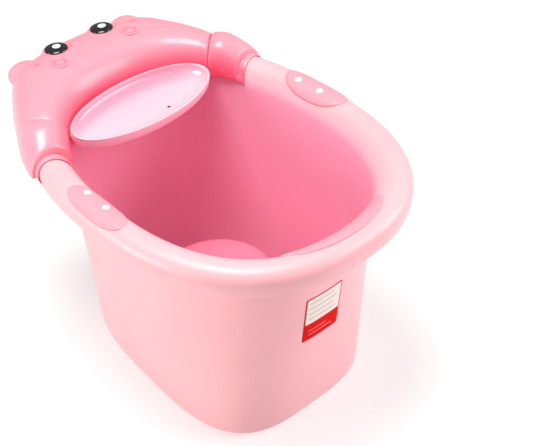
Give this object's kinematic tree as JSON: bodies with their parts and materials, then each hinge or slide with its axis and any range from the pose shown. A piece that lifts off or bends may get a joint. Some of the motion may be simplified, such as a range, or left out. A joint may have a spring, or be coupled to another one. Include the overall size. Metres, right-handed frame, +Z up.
{
  "type": "baby bathtub",
  "caption": "Tall oval bath bucket for a child, with a rolled rim, an animal-head backrest on the rear rim, a lift-out soap dish, a stool and a floor drain.",
  "frame": {"origin": "centre of the whole assembly's footprint, on the floor it stands on", "axes": "+Z up, +Y towards the animal head at the rear, -Y towards the foot end with the label, +X to the right seen from the foot end"},
  "size_m": [0.4801, 0.6983, 0.464],
  "materials": {
    "tub_plastic": "pale pink moulded polypropylene, satin with a soft gloss",
    "head_plastic": "rose pink moulded polypropylene, soft gloss",
    "stool_plastic": "pink moulded polypropylene, satin",
    "grip_pad": "soft pink thermoplastic elastomer, satin",
    "white_plastic": "white moulded plastic, gloss",
    "eye_plastic": "black plastic with a white highlight, high gloss",
    "seal_rubber": "soft pale grey rubber",
    "foot_rubber": "pale grey anti-slip rubber",
    "label_film": "printed film label, plain, without any text"
  },
  "bodies": {
    "tub": {"tub_body": "tub_plastic", "label": "label_film", "side_grip_left": "grip_pad", "side_grip_right": "grip_pad", "grip_studs_left": "white_plastic", "grip_studs_right": "white_plastic", "front_grip": "grip_pad", "foot_front_left": "foot_rubber", "foot_front_right": "foot_rubber", "foot_middle_left": "foot_rubber", "foot_middle_right": "foot_rubber", "foot_rear_left": "foot_rubber", "foot_rear_right": "foot_rubber", "drain_gasket": "seal_rubber", "drain_seat": "white_plastic", "drain_nut": "white_plastic"},
    "drain_plug": {"drain_plug": "seal_rubber"},
    "stool": {"stool": "stool_plastic", "stool_shoe_1": "foot_rubber", "stool_shoe_2": "foot_rubber", "stool_shoe_3": "foot_rubber", "stool_shoe_4": "foot_rubber"},
    "head": {"head_cover": "head_plastic", "arm_left": "head_plastic", "arm_right": "head_plastic", "clip_sleeve_left": "head_plastic", "clip_sleeve_right": "head_plastic", "eye_left": "eye_plastic", "eye_right": "eye_plastic", "cheek_disc_left": "head_plastic", "cheek_disc_right": "head_plastic", "dish_holder": "head_plastic"},
    "soap_dish": {"soap_dish": "white_plastic"}
  },
  "joints": [
    {"name": "head_lift", "type": "slide", "parent": "tub", "child": "head", "axis": [0, 0, 1], "range_m": [0, 0.12]},
    {"name": "dish_lift", "type": "slide", "parent": "head", "child": "soap_dish", "axis": [0, -0.2571, 0.9664], "range_m": [0, 0.035]},
    {"name": "stool_lift", "type": "slide", "parent": "tub", "child": "stool", "axis": [0, 0, 1], "range_m": [0, 0.48]},
    {"name": "plug_lift", "type": "slide", "parent": "tub", "child": "drain_plug", "axis": [0, 0, 1], "range_m": [0, 0.08]}
  ]
}
